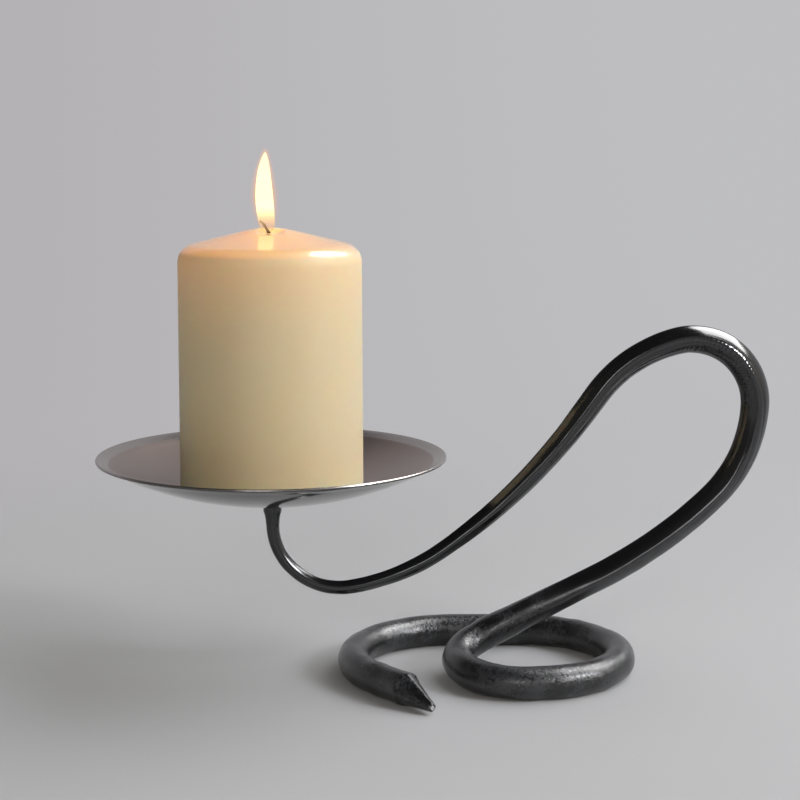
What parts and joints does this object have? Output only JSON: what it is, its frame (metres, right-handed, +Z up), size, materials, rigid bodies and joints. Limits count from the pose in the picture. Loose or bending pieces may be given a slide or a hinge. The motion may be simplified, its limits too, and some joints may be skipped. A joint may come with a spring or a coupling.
{
  "type": "candle holder",
  "caption": "Free-standing candle holder of one coiled, looped iron bar, a shallow drip dish on the end of its arm, and a lit pillar candle.",
  "frame": {"origin": "on the table, under the middle of the object's overall length and width", "axes": "+X from the candle towards the tall loop, +Y away from the viewer, square to the loop's plane, +Z up"},
  "size_m": [0.2612, 0.133, 0.2019],
  "materials": {
    "blackened_iron": "forged, blackened and waxed, with hammer marks",
    "dish_steel": "spun and satin polished",
    "wax": "smooth ivory wax, lit from inside near the top",
    "wick": "braided cotton, charred",
    "flame": "glowing gas, near white in the middle"
  },
  "bodies": {
    "holder": {"forged_stem": "blackened_iron", "drip_dish": "dish_steel", "candle_spike": "dish_steel"},
    "pillar": {"candle": "wax", "wick": "wick", "flame": "flame"}
  },
  "joints": [
    {"name": "candle_lift", "type": "slide", "parent": "holder", "child": "pillar", "axis": [0, 0, 1], "range_m": [0, 0.06]}
  ]
}
